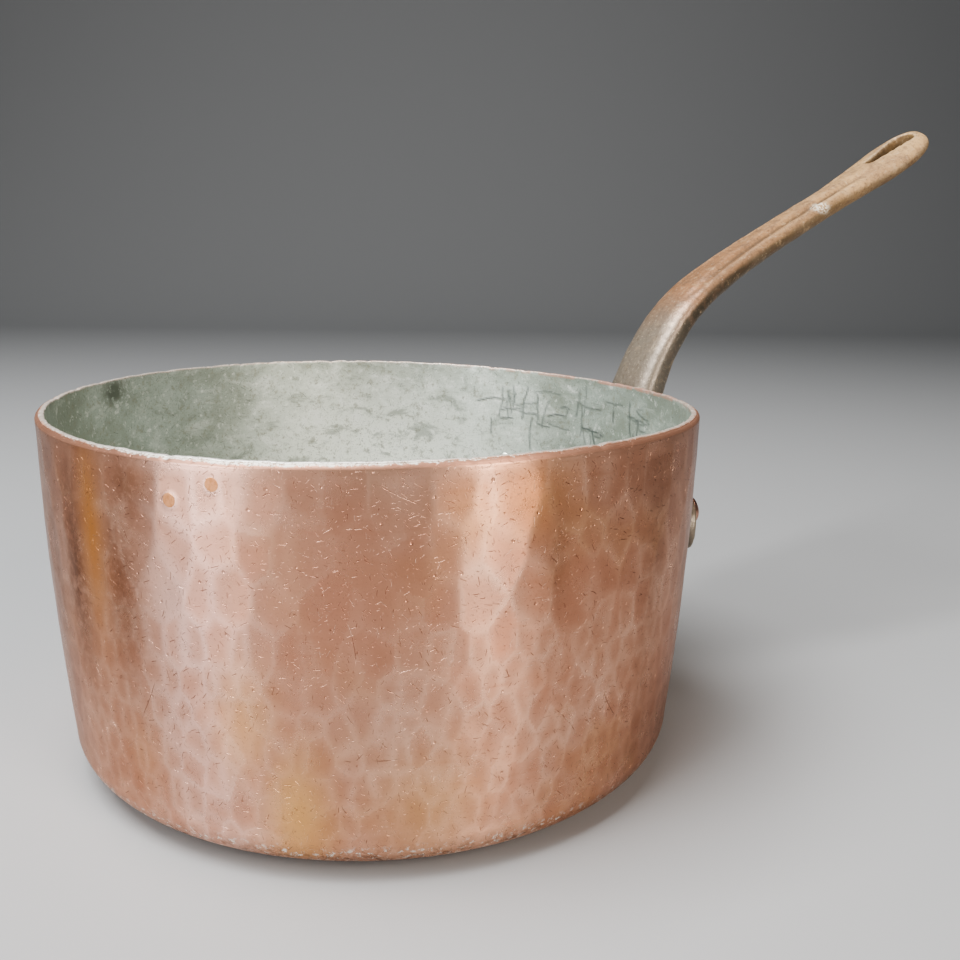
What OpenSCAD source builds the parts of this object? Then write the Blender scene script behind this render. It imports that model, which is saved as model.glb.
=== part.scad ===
// Hammered copper saucepan with a tinned inside and a riveted cast-iron handle.
// Origin: centre of the underside of the base. +X points along the handle, +Z is up. Millimetres.

/* [Pan] */
// Outside diameter of the rim
rim_d = 200; // [170:1:240]
// Height from the underside of the base to the top of the rim
pan_h = 109; // [95:1:130]
// How much narrower, in radius, the wall is where it meets the base corner
wall_taper = 4.6; // [2:0.1:8]
// Thickness of the copper and its tin together
wall_t = 2.5; // [2:0.1:3.5]
// Thickness of the tin wiped over the inside and the top of the rim
tin_t = 0.3; // [0.2:0.05:0.6]
// How far the rounded base corner reaches in from the wall
corner_in = 19; // [12:1:26]
// How far the rounded base corner reaches up the wall
corner_up = 13; // [12:1:18]
// Size of the filed bevel round the outside of the rim
rim_bevel = 0.9; // [0.3:0.1:1.2]

/* [Handle] */
// Distance from the pan's axis to the tip of the handle
tip_x = 275; // [262:1:300]
// Height of the handle's tip above the base
tip_z = 208; // [195:1:225]
// Height at which the middle of the shank leaves the wall
root_z = 78; // [74:1:82]
// Width of the shank where it flares into the flange
root_w = 37; // [30:1:42]
// Width of the shank where it starts to rise past the rim
shank_w = 23; // [20:0.5:28]
// Width of the shank just before the hanging eye
neck_w = 16.5; // [14:0.5:22]
// Width of the flattened end round the hanging eye
eye_w = 25.5; // [24:0.5:32]
// Thickness of the shank at the flange
root_t = 22; // [18:0.5:24]
// Thickness of the shank along the grip
grip_t = 10.4; // [8:0.2:12]
// Depth of the groove along each shoulder of the grip
groove_d = 1.7; // [0:0.1:2]
// Length of the slot in the hanging eye
slot_l = 31; // [26:1:36]
// Width of the slot at its round outer end
slot_w = 9.5; // [7:0.5:11]

/* [Flange and rivets] */
// Thickness of the iron flange
flange_t = 5; // [4:0.5:6]
// Angle round the pan from the handle to each upper rivet
rivet_angle = 29; // [24:0.5:32]
// Height of the two upper rivets
rivet_z = 71; // [68:0.5:73]
// Height of the lower rivet
lower_rivet_z = 47; // [44:0.5:50]
// Diameter of the rivet shanks
rivet_d = 6; // [5:0.5:7]
// Diameter of the domed rivet heads
head_d = 11; // [10:0.5:13]
// Height of the domed heads outside
head_h = 2.75; // [2:0.25:5]
// Diameter of the low heads inside the pan
inner_head_d = 9; // [8:0.5:11]
// Height of the low heads inside the pan
inner_head_h = 1.2; // [0.8:0.1:2]

/* [Repair plugs] */
// Diameter of the copper plugs let into the wall
plug_d = 3.6; // [3:0.1:5]
// Angle round the pan from the handle to the left plug, clockwise from above
left_plug_angle = 147.7; // [147:0.1:170]
// Angle round the pan from the handle to the right plug, clockwise from above
right_plug_angle = 141; // [100:0.5:143]
// Depth of the left plug's centre below the top of the rim
left_plug_drop = 10.9; // [5:0.1:20]
// Depth of the right plug's centre below the top of the rim
right_plug_drop = 6.1; // [5:0.1:20]

/* [Hidden] */

COPPER = "#a5684f";
PLUG_COPPER = "#b9673a";
TIN = "#9aa39b";
IRON = "#7d6350";

rim_r = rim_d / 2;
copper_t = wall_t - tin_t;
wall_steps = 8;
corner_steps = 8;
fine = 128;

ear_r = 8.5;                  // rounded end of each flange wing
ear_z = rivet_z - 4;          // the wings hang a little below their rivets
ear_angle = rivet_angle + 0.5;
ear_y = rim_r * sin(ear_angle);
lobe_r = 9.5;                 // rounded end of the flange under the handle
web_inset = 0.6;              // the webs end just inside the rounded ends that they join
heel = [rim_r - 4, root_z - 8];     // start of the shank's centre line, within the pan's wall
bend = [rim_r + 38, root_z + 61];   // where the rising shank turns over into the grip
flare_share = 0.2;            // share of the shank's length over which the flare dies out
swell_share = 0.3;            // share over which the shank thins down to the grip
neck_share = 0.7;             // share of the shank's length at which it is narrowest
eye_share = 0.9;              // share of the shank's length at which the eye is widest
eye_tilt = 24;                // slope of the slot
eye_rise = 29;                // slope from the slot's middle up to the tip
eye_wall = 5.5;               // iron left between the slot and the tip
slot_inner_r = 2;             // narrow inner end of the slot
square_root = 0.65;           // how boxy the section is at the root: 0.5 nearly square,
round_grip = 0.95;            // and along the grip: 1 is an ellipse
ring_points = 24;
shoulder = 60;                // angle of the grooves above the middle of the ring's sides
groove_spread = 15;           // angle to either side over which a groove comes back to the surface
bend_steps = 14;              // rings along the rising bend
grip_steps = 30;              // rings along the grip and the eye

// Outside radius of the wall at height z: upright at the rim, drawn in towards the base.
function wall_r(z) =
    let (share = max(0, (pan_h - z) / (pan_h - corner_up)))
    rim_r - wall_taper * pow(share, 2);

// Outside outline of the pan from the axis round the base corner to the top of the wall,
// with the surface moved in by inset.
function outline(inset, top) =
    let (
        foot_r = wall_r(corner_up) - inset,
        across = corner_in - inset,
        up = corner_up - inset,
        corner = [for (i = [0 : corner_steps])
            let (a = 90 * i / corner_steps)
            [foot_r - across * (1 - sin(a)), inset + up * (1 - cos(a))]],
        wall = [for (i = [1 : wall_steps])
            let (z = corner_up + (top - corner_up) * i / wall_steps)
            [wall_r(z) - inset, z]]
    )
    concat([[0, inset]], corner, wall);

// Turns an outline about the pan's axis, with the seam a quarter turn away from the handle.
module turned() {
    rotate([0, 0, 90])
        rotate_extrude($fn = fine)
            children();
}

// Solid filling the pan out to its surface, moved in by inset.
module pan_volume(inset, top) {
    turned()
        polygon(concat(outline(inset, top), [[0, top]]));
}

// Places its children on the wall, with local +Z pointing straight out of the pan.
module on_wall(angle, z) {
    rotate([0, 0, angle])
        translate([0, 0, z])
            rotate([0, 90, 0])
                children();
}

module rivet_hole(angle, z) {
    on_wall(angle, z)
        translate([0, 0, rim_r / 2])
            cylinder(d = rivet_d, h = rim_r, $fn = 48);
}

module rivet_holes() {
    rivet_hole(rivet_angle, rivet_z);
    rivet_hole(-rivet_angle, rivet_z);
    rivet_hole(0, lower_rivet_z);
}

module plug_core(angle, drop) {
    on_wall(-angle, pan_h - drop)
        translate([0, 0, rim_r / 2])
            cylinder(d = plug_d, h = rim_r, $fn = 48);
}

// Copper pan: base, corner and wall raised from one sheet, with a filed bevel at the rim.
module pan_body() {
    shoulder = pan_h - tin_t;
    color(COPPER)
        difference() {
            turned()
                difference() {
                    polygon(concat(outline(0, shoulder), [[0, shoulder]]));
                    polygon(concat(outline(copper_t, pan_h + 1), [[0, pan_h + 1]]));
                    translate([rim_r, shoulder])
                        rotate(45)
                            square(rim_bevel * sqrt(2), center = true);
                }
            rivet_holes();
            plug_core(left_plug_angle, left_plug_drop);
            plug_core(right_plug_angle, right_plug_drop);
        }
}

// Tin wiped over the inside of the copper and the flat top of the rim.
module tin_lining() {
    shoulder = pan_h - tin_t;
    color(TIN)
        difference() {
            turned()
                union() {
                    difference() {
                        polygon(concat(outline(copper_t, pan_h), [[0, pan_h]]));
                        polygon(concat(outline(wall_t, pan_h + 1), [[0, pan_h + 1]]));
                    }
                    translate([rim_r - wall_t, shoulder])
                        square([wall_t - rim_bevel, tin_t]);
                }
            lining_hole(rivet_angle, rivet_z);
            lining_hole(-rivet_angle, rivet_z);
            lining_hole(0, lower_rivet_z);
        }
}

// The tin stops at the edge of each rivet's inner head.
module lining_hole(angle, z) {
    on_wall(angle, z)
        translate([0, 0, rim_r / 2])
            cylinder(d = inner_head_d, h = rim_r, $fn = 48);
}

// Cubic curve through a and d, pulled towards b and c.
function bezier(a, b, c, d, t) =
    pow(1 - t, 3) * a + 3 * pow(1 - t, 2) * t * b + 3 * (1 - t) * t * t * c + pow(t, 3) * d;

// The shank's centre line in the X-Z plane: up out of the wall, over the bend, out to the tip.
spine = concat(
    [for (i = [0 : bend_steps])
        bezier(heel, heel + [15, 12], [rim_r + 6, root_z + 38], bend, i / bend_steps)],
    [for (i = [1 : grip_steps])
        bezier(bend, bend + [30, 21], [tip_x - 26, tip_z - 20], [tip_x, tip_z],
               sin(90 * i / grip_steps))]
);
last = len(spine) - 1;

// Distance along the centre line to each of its points, then the same as a share of the whole.
runs = [for (i = 0, run = 0; i <= last;
             run = run + norm(spine[min(last, i + 1)] - spine[i]), i = i + 1) run];
shares = [for (run = runs) run / runs[last]];

function smooth(from, to, x) =
    let (t = min(1, max(0, (x - from) / (to - from))))
    t * t * (3 - 2 * t);

// Rounded end of the eye: full size until eye_share, then closing like a long circle.
function tip_factor(u) =
    let (t = max(0, (u - eye_share) / (1 - eye_share)))
    pow(max(0.02, 1 - pow(t, 2.6)), 1 / 2.2);

function width_at(u) =
    let (
        flare = (root_w - shank_w) * pow(max(0, 1 - u / flare_share), 2),
        shank = shank_w - (shank_w - neck_w) * min(1, u / neck_share),
        eye = (eye_w - neck_w) * smooth(neck_share, eye_share, u)
    )
    (flare + shank + eye) * tip_factor(u);

function thickness_at(u) =
    (grip_t + (root_t - grip_t) * pow(max(0, 1 - u / swell_share), 2)) * sqrt(tip_factor(u));

// Direction of the centre line at ring i.
function heading(i) =
    let (d = spine[min(last, i + 1)] - spine[max(0, i - 1)])
    d / norm(d);

// Depth of the shallow grooves along both shoulders, between the bend and the neck, at angle a.
function groove_at(u, a) =
    let (away = min(abs(a - shoulder), abs(a - (180 - shoulder))))
    groove_d * max(0, 1 - away / groove_spread)
        * smooth(0.3, 0.45, u) * (1 - smooth(neck_share, eye_share, u));

// One cross-section: boxy at the root, rounded along the grip, grooved at both shoulders.
function signed_pow(x, p) = sign(x) * pow(abs(x), p);
function ring(i) =
    let (
        u = shares[i],
        along = heading(i),
        half_w = width_at(u) / 2,
        half_t = thickness_at(u) / 2,
        power = square_root + (round_grip - square_root) * smooth(0.25, 0.55, u)
    )
    [for (k = [0 : ring_points - 1])
        let (
            a = 360 * k / ring_points,
            across = half_w * signed_pow(cos(a), power),
            over = half_t * signed_pow(sin(a), power) - groove_at(u, a)
        )
        [spine[i].x - along.y * over, across, spine[i].y + along.x * over]];

module shank() {
    points = [for (i = [0 : last]) each ring(i)];
    sides = [for (i = [0 : last - 1], k = [0 : ring_points - 1])
        let (k2 = (k + 1) % ring_points, low = i * ring_points, high = low + ring_points)
        [low + k, high + k, high + k2, low + k2]];
    root = [for (k = [0 : ring_points - 1]) k];
    tip = [for (k = [ring_points - 1 : -1 : 0]) last * ring_points + k];
    polyhedron(points, concat([root], sides, [tip]), convexity = 6);
}

// Quarter of an ellipse that leaves its first point level and meets its last point upright.
function quarter(level, upright) =
    [for (i = [0 : 8])
        let (a = 90 * i / 8)
        [level.x + (upright.x - level.x) * sin(a), upright.y + (level.y - upright.y) * cos(a)]];
function reversed(list) = [for (i = [len(list) - 1 : -1 : 0]) list[i]];

// Outline of the flange's webs seen along the handle: from wing to wing and down to the lobe.
module flange_webs() {
    wing = ear_r - web_inset;
    collar_z = root_z + 10;
    below = quarter([ear_y, ear_z - wing], [lobe_r - web_inset, lower_rivet_z]);
    above = quarter([ear_y, ear_z + wing], [root_w / 2 - 4.5, collar_z]);
    half = concat([[0, lower_rivet_z]], reversed(below), above, [[0, collar_z]]);
    polygon(half);
    mirror([1, 0])
        polygon(half);
}

// Iron plate bent to the wall: two wings and a lobe, one rivet through each.
module flange() {
    intersection() {
        difference() {
            pan_volume(-flange_t, pan_h);
            pan_volume(0, pan_h);
        }
        union() {
            rotate([90, 0, 90])
                linear_extrude(rim_r * 2)
                    flange_webs();
            for (angle = [-ear_angle, ear_angle])
                on_wall(angle, ear_z)
                    cylinder(r = ear_r, h = rim_r * 2, $fn = 64);
            on_wall(0, lower_rivet_z)
                cylinder(r = lobe_r, h = rim_r * 2, $fn = 64);
        }
    }
}

// Long drop-shaped slot through the flattened end.
module eye_slot() {
    middle = [tip_x, tip_z] - (eye_wall + slot_l / 2) * [cos(eye_rise), sin(eye_rise)];
    translate([middle.x, 0, middle.y])
        rotate([0, -eye_tilt, 0])
            linear_extrude(root_t * 2, center = true)
                hull() {
                    translate([slot_l / 2 - slot_w / 2, 0])
                        circle(d = slot_w, $fn = 32);
                    translate([slot_inner_r - slot_l / 2, 0])
                        circle(r = slot_inner_r, $fn = 16);
                }
}

// Cast-iron handle: flange, shank and hanging eye in one casting.
module handle() {
    color(IRON)
        difference() {
            union() {
                flange();
                difference() {
                    shank();
                    pan_volume(0, pan_h);
                }
            }
            eye_slot();
            rivet_holes();
        }
}

// Low dome: the part of a ball that stands h above a flat of diameter d.
module dome(d, h) {
    ball_r = (d * d / 4 + h * h) / (2 * h);
    intersection() {
        translate([0, 0, h - ball_r])
            sphere(r = ball_r, $fn = 64);
        cylinder(d = d, h = h, $fn = 64);
    }
}

// Copper rivet: shank through wall and flange, domed outside, low head inside.
// Each head is closed down onto the surface it bears on.
module rivet(angle, z) {
    seat = wall_r(z) + flange_t;
    inside = wall_r(z) - copper_t;
    color(COPPER)
        union() {
            on_wall(angle, z)
                translate([0, 0, inside - inner_head_h / 2])
                    cylinder(d = rivet_d, h = seat - inside + inner_head_h, $fn = 48);
            difference() {
                on_wall(angle, z)
                    translate([0, 0, seat - 1])
                        dome(head_d, head_h + 1);
                pan_volume(-flange_t, pan_h);
            }
            intersection() {
                on_wall(angle, z)
                    translate([0, 0, inside + 1])
                        mirror([0, 0, 1])
                            dome(inner_head_d, inner_head_h + 1);
                pan_volume(copper_t, pan_h);
            }
        }
}

// Copper plug hammered into a hole in the wall and filed flush with it.
module repair_plug(angle, drop) {
    color(PLUG_COPPER)
        intersection() {
            plug_core(angle, drop);
            difference() {
                pan_volume(0, pan_h);
                pan_volume(copper_t, pan_h);
            }
        }
}

pan_body();
tin_lining();
handle();
rivet(rivet_angle, rivet_z);  // rivet_left
rivet(-rivet_angle, rivet_z);  // rivet_right
rivet(0, lower_rivet_z);  // rivet_lower
repair_plug(left_plug_angle, left_plug_drop);  // repair_plug_left
repair_plug(right_plug_angle, right_plug_drop);  // repair_plug_right
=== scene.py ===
"""Looks of a hammered copper saucepan: wall, wiped tin, iron handle, rivets and repair plugs.

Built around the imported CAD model, in its frame: metres, +X along the handle, +Z up.
"""
import math
import bmesh
import bpy
import numpy as np
from mathutils import Matrix, Vector, noise


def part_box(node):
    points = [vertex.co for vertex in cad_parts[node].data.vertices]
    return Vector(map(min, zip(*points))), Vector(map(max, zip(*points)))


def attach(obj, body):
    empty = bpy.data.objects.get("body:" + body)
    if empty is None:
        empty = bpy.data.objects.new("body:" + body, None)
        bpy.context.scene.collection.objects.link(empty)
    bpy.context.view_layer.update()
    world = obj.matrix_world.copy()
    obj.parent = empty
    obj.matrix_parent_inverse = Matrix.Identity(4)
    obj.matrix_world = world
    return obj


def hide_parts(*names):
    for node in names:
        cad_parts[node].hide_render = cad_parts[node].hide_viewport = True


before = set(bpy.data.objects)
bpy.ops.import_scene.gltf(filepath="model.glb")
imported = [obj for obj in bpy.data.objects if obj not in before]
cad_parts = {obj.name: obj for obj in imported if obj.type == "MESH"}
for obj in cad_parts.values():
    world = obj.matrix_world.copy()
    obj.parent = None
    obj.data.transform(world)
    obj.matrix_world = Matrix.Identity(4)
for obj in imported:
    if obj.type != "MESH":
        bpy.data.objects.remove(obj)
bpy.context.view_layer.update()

# ---------------------------------------------------------------- sizes, in metres

MM = 0.001
RIM_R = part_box("pan_body")[1].y
PAN_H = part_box("tin_lining")[1].z
WALL_T = 2.5 * MM           # copper and tin together
TIN_T = 0.3 * MM
COPPER_T = WALL_T - TIN_T
WALL_TAPER = 4.6 * MM       # the wall is this much narrower where the base corner begins
CORNER_IN = 19 * MM         # reach of the rounded base corner
CORNER_UP = 13 * MM
BEVEL = 0.9 * MM            # filed edge outside the rim
COLUMNS = 1024              # faces round the wall, halved again and again towards the middle
MESH_STEP = 0.6 * MM        # height of one row of faces on the wall

FIRST_ROW = 8 * MM          # middle of the topmost row of hammer marks, below the rim
BROAD_BAND = 44 * MM        # the marks are broad down to here below the rim, and narrow below
BROAD_MARK = (8.6 * MM, 12.5 * MM)    # width of a mark and height of its row
NARROW_MARK = (5.8 * MM, 8.6 * MM)
MARK_REACH = 16 * MM        # a mark is not looked for further up or down than this
MARK_DEPTH = 0.13 * MM
RIDGE = 30 / MM             # sharpness of the ridges between the marks

SCORED_LINES = 52           # dark scratches in the tin by the handle
WORN_SPOT = (0.2035, -0.0062, 0.1740)   # scuffed place on top of the grip

CAMERA_SIDE = math.radians(-119)   # the camera's place round the pan, from the handle
CAMERA_AWAY = 0.3164        # from the pan's axis
CAMERA_UP = 0.1561
CAMERA_HEADING = 55.04      # degrees from +X that it looks along
CAMERA_TIP = 13.12          # degrees down
CAMERA_ROLL = 1.09          # degrees


def wall_r(z):
    """Outside radius of the wall at height z."""
    share = np.clip((PAN_H - z) / (PAN_H - CORNER_UP), 0, 1)
    return RIM_R - WALL_TAPER * share ** 2


def outline(inset, top):
    """Points (r, z) from the base's flat round the corner and up the wall, moved in by inset."""
    foot_r = float(wall_r(CORNER_UP)) - inset
    across = CORNER_IN - inset
    up = CORNER_UP - inset
    corner_rows = int(1.35 * CORNER_IN / MESH_STEP)
    turn = np.linspace(0, math.pi / 2, corner_rows + 1)
    corner = np.stack([foot_r - across * (1 - np.sin(turn)), inset + up * (1 - np.cos(turn))], 1)
    wall_rows = int((top - CORNER_UP) / MESH_STEP)
    z = np.linspace(CORNER_UP, top, wall_rows + 1)[1:]
    wall = np.stack([wall_r(z) - inset, z], 1)
    return np.concatenate([corner, wall])


def disc(r, z, step):
    """Points (r, z) from near the axis out to r, on the flat at height z."""
    rows = int(r / step)
    radii = r * np.arange(1, rows) / rows
    return np.stack([radii, np.full(len(radii), z)], 1)


# ---------------------------------------------------------------- hammer marks and wear

def angle_between(a, b):
    """Signed angle from b to a, between -pi and pi."""
    return (a - b + math.pi) % (2 * math.pi) - math.pi


def ripple(theta, knots, seed):
    """Smooth random wave round the pan, from -1 to 1, with that many knots."""
    values = np.random.default_rng(seed).uniform(-1, 1, knots)
    place = theta / (2 * math.pi) * knots
    low = np.floor(place).astype(int)
    part = place - low
    part = part * part * (3 - 2 * part)
    return values[low % knots] * (1 - part) + values[(low + 1) % knots] * part


def rim_rise(theta):
    """How far the bent rim stands above its mean height."""
    oval = -0.95 * MM * np.cos(2 * (theta - math.radians(3.2)))
    three = -0.22 * MM * np.cos(3 * theta + math.radians(50))
    return oval + three


def patch(theta, z, side, height, half_angle, half_height):
    """A soft-edged spot on the wall: 1 in its middle, 0 well outside."""
    across = angle_between(theta, math.radians(side)) / math.radians(half_angle)
    up = (z - height) / half_height
    return np.exp(-across ** 2 - up ** 2)


def hammer_rows(total):
    """Height along the outline and width of each row of marks: broad by the rim, narrow below."""
    rows = []
    v = total - FIRST_ROW
    while v > 2 * MM:
        width, gap = BROAD_MARK if total - v < BROAD_BAND else NARROW_MARK
        rows.append((v, width))
        v -= gap
    return rows


def row_of_marks(rng, row, place, width):
    """One row of marks: where each is, how deep and how round it is, how it leans, how much painted
    shade it gets.
    """
    count = int(round(2 * math.pi * RIM_R / width))
    pitch = 2 * math.pi / count
    start = 0.5 * (row % 2)
    return {
        "pitch": pitch,
        "start": start,
        "middle": (np.arange(count) + start + rng.uniform(-0.08, 0.08, count)) * pitch,
        "height": place + rng.normal(0, 0.6 * MM, count),
        "deep": rng.normal(MARK_DEPTH, 0.012 * MM, count),
        "lean_s": rng.normal(0, 6.5 * width - 0.026, count),    # broad marks lean more
        "lean_t": rng.normal(0, 0.005, count),
        "curve_s": rng.uniform(4.8, 6.4, count),
        "curve_t": rng.uniform(1.4, 2.6, count),
        "facet_shade": rng.uniform(0, 1, count),
    }


def mark_depth(marks, k, theta, v):
    """Depth at (theta, v) of the bowl of mark k, which is below 0 outside the mark."""
    s = angle_between(theta, marks["middle"][k]) * RIM_R
    t = v - marks["height"][k]
    bowl = marks["deep"][k] - marks["curve_s"][k] * s * s - marks["curve_t"][k] * t * t
    return bowl + marks["lean_s"][k] * s + marks["lean_t"][k] * t


def hammer(theta, v, total):
    """Depth of the hammer marks at (theta, v), how far inside a mark it is, and each mark's share
    of painted shade.
    """
    rng = np.random.default_rng(7)
    best = np.full(theta.shape, -1.0)
    second = np.full(theta.shape, -1.0)
    facet_shade = np.zeros(theta.shape)
    wide = np.full(theta.shape, 9 * MM)
    pile = np.full(theta.shape, math.exp(-RIDGE * 0.05 * MM))
    for row, (place, width) in enumerate(hammer_rows(total)):
        marks = row_of_marks(rng, row, place, width)
        near = np.abs(v - place) < MARK_REACH
        guess = np.round(theta[near] / marks["pitch"] - marks["start"]).astype(int)
        for step in (-1, 0, 1):
            k = (guess + step) % len(marks["middle"])
            depth = mark_depth(marks, k, theta[near], v[near])
            pile[near] += np.exp(np.clip(RIDGE * depth, -60, 60))
            first = depth > best[near]
            runner = np.where(first, best[near], depth)
            second[near] = np.maximum(second[near], runner)
            facet_shade[near] = np.where(first, marks["facet_shade"][k], facet_shade[near])
            wide[near] = np.where(first, width, wide[near])
            best[near] = np.maximum(best[near], depth)
    inside = np.clip((best - second) / (0.024 * wide), 0, 1)
    return np.log(pile) / RIDGE, inside * inside * (3 - 2 * inside), facet_shade


# ---------------------------------------------------------------- meshes

def columns_at(r):
    """Faces in the ring at radius r, so that they stay about square."""
    count = COLUMNS
    while r < 0.6 * RIM_R * count / COLUMNS and count > 14:
        count //= 2
    return count


def lathe(name, rings, finish):
    """Mesh turned about the axis from (r, z) rings, closed at both ends on the axis.

    finish(theta, r, z, v) gives each ring's points their final x, y, z; v runs along the outline.
    """
    r = rings[:, 0]
    z = rings[:, 1]
    v = np.concatenate([[0], np.cumsum(np.hypot(np.diff(r), np.diff(z)))])
    counts = [columns_at(x) for x in r]
    theta = [np.arange(n) * 2 * math.pi / n for n in counts]
    where = np.cumsum([0] + counts)
    flat = finish(np.concatenate(theta), np.repeat(r, counts), np.repeat(z, counts),
                  np.repeat(v, counts))
    points = flat["points"]
    ends = [points[:counts[0]].mean(0), points[where[-2]:where[-1]].mean(0)]
    points = np.concatenate([points, ends])
    faces = []
    for i in range(len(counts) - 1):
        a = where[i] + np.arange(counts[i])
        b = where[i + 1] + np.arange(counts[i + 1])
        faces += join_rings(a, b)
    start = int(where[-1])
    faces += [(start, j, i) for i, j in zip(range(counts[0]), np.roll(range(counts[0]), -1))]
    last = where[-2] + np.arange(counts[-1])
    faces += [(start + 1, i, j) for i, j in zip(last, np.roll(last, -1))]
    mesh = bpy.data.meshes.new(name)
    mesh.from_pydata(points.tolist(), [], [tuple(int(i) for i in f) for f in faces])
    mesh.update()
    for key, values in flat.items():
        if key != "points":
            layer = mesh.attributes.new(key, "FLOAT", "POINT")
            layer.data.foreach_set("value", np.concatenate([values, [0, 0]]).astype(np.float32))
    unroll(mesh, np.concatenate([np.concatenate(theta), [0, 0]]),
           np.concatenate([np.repeat(v, counts), [v[0], v[-1]]]))
    mesh.shade_smooth()
    piece = bpy.data.objects.new(name, mesh)
    bpy.context.scene.collection.objects.link(piece)
    return piece


def join_rings(a, b):
    """Faces between two rings that have as many points, or one twice as many as the other."""
    a2 = np.roll(a, -1)
    b2 = np.roll(b, -1)
    if len(a) == len(b):
        return list(zip(a, a2, b2, b))
    if len(a) > len(b):
        half = a[1::2]
        return list(zip(a[::2], half, b)) + list(zip(half, b2, b)) + list(zip(half, a2[1::2], b2))
    half = b[1::2]
    return list(zip(a, half, b[::2])) + list(zip(a, a2, half)) + list(zip(a2, b2[1::2], half))


def unroll(mesh, theta, v):
    """UV in metres: round the pan, and along its outline. The seam is under the handle."""
    corner = np.zeros(len(mesh.loops), int)
    mesh.loops.foreach_get("vertex_index", corner)
    u = theta[corner]
    start = np.zeros(len(mesh.polygons), int)
    size = np.zeros(len(mesh.polygons), int)
    mesh.polygons.foreach_get("loop_start", start)
    mesh.polygons.foreach_get("loop_total", size)
    face = np.repeat(np.arange(len(size)), size)
    far = np.zeros(len(size))
    np.maximum.at(far, face, u)
    u = np.where((far[face] > 1.5 * math.pi) & (u < 0.5 * math.pi), u + 2 * math.pi, u)
    layer = mesh.uv_layers.new(name="unrolled")
    layer.data.foreach_set("uv", np.stack([u * RIM_R, v[corner]], 1).ravel().astype(np.float32))


def upright(theta, r, z):
    """Points x, y, z from angle, radius and height."""
    return np.stack([r * np.cos(theta), r * np.sin(theta), z], 1)


# Stains and painted light on the wall: which one, degrees from the handle, height, half width in
# degrees, half height, strength. The pinkish and pale kinds are painted highlights, and one brown
# strip is painted shade.
WALL_PATCHES = (
    ("brown", -170.0, 74 * MM, 4.0, 28 * MM, 1.0),
    ("brown", -155.5, 98 * MM, 4.5, 11 * MM, 0.65),
    # painted shade: a tall darker strip by the left outline, standing in for a dark reflection at
    # the edge
    ("brown", -180.0, 70 * MM, 6.0, 60 * MM, 0.55),
    ("brown", -158.0, 74 * MM, 4.5, 26 * MM, 0.70),
    # a tall darker strip towards the right outline
    ("brown", -71.0, 80 * MM, 4.5, 60 * MM, 0.38),
    ("brown", -93.7, 85 * MM, 2.2, 14 * MM, 0.5),
    ("orange", -164.3, 86 * MM, 2.8, 24 * MM, 0.95),
    ("orange", -157.0, 28 * MM, 4.0, 10 * MM, 0.30),
    ("orange", -98.0, 101 * MM, 7.0, 9 * MM, 0.45),
    ("orange", -107.0, 98 * MM, 4.0, 9 * MM, 0.38),
    ("yellow", -131.0, 20 * MM, 4.5, 15 * MM, 0.8),
    ("yellow", -138.0, 44 * MM, 4.5, 14 * MM, 0.4),
    ("yellow", -112.0, 22 * MM, 8.0, 15 * MM, 0.36),
    # painted highlights: the pinkish and pale patches lighten the wall where highlights fall
    ("pink_highlight", -145.0, 62 * MM, 10.0, 70 * MM, 0.75),
    ("pale", -105.0, 84 * MM, 4.0, 17 * MM, 0.35),
    ("pale", -121.0, 42 * MM, 9.0, 15 * MM, 0.30),
    ("pale", -120.0, 106 * MM, 9.0, 6 * MM, 0.25),
    ("smooth", -122.0, 82 * MM, 10.0, 24 * MM, 1.0),
)


def patch_strength(kind, theta, z):
    """Strength of one kind of patch: stains, painted highlights for the pinkish and pale kinds, and
    painted shade in one brown strip.
    """
    total = np.zeros(theta.shape)
    for name, side, height, half_angle, half_height, strength in WALL_PATCHES:
        if name == kind:
            spot = strength * patch(theta, z, side, height, half_angle, half_height)
            total = np.maximum(total, spot)
    return total


def plug_seats(theta, z):
    """1 where the wall is filed down round a repair plug, 0 elsewhere."""
    seat = np.zeros(theta.shape)
    for node in ("repair_plug_left", "repair_plug_right"):
        low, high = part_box(node)
        middle = (low + high) / 2
        side = math.atan2(middle.y, middle.x)
        away = np.hypot(angle_between(theta, side) * RIM_R, z - middle.z)
        seat = np.maximum(seat, np.clip((2.6 * MM - away) / (0.5 * MM), 0, 1))
    return seat


def nicks(theta, count, seed):
    """Small chips knocked out of the rim, from 0 to 1 deep."""
    rng = np.random.default_rng(seed)
    depth = np.zeros(theta.shape)
    for _ in range(count):
        side = rng.uniform(-math.pi, math.pi)
        wide = rng.uniform(0.5, 1.6) * MM / RIM_R
        deep = rng.uniform(0.3, 1)
        depth = np.maximum(depth, deep * np.exp(-(angle_between(theta, side) / wide) ** 2))
    return depth


def rim_highlight(theta, z):
    """1 on the front stretch of the rim, a painted highlight: there the tin is made brightest and
    runs furthest down outside.
    """
    return patch(theta, z, -135, PAN_H, 27, 9 * MM)


def rim_shift(theta, z):
    """How far the bent and nicked rim moves a point up and in."""
    rim = np.clip((z - 85 * MM) / (PAN_H - 85 * MM), 0, 1) ** 2
    edge = np.clip((z - (PAN_H - 2.2 * MM)) / (2 * MM), 0, 1)
    wavy = 0.11 * MM * ripple(theta, 140, 3) + 0.07 * MM * ripple(theta, 430, 8)
    up = rim * rim_rise(theta) + edge * (wavy - 0.35 * MM * nicks(theta, 46, 21))
    inward = edge * 0.07 * MM * (2 + ripple(theta, 190, 4) + ripple(theta, 470, 9))
    return up, inward


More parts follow.
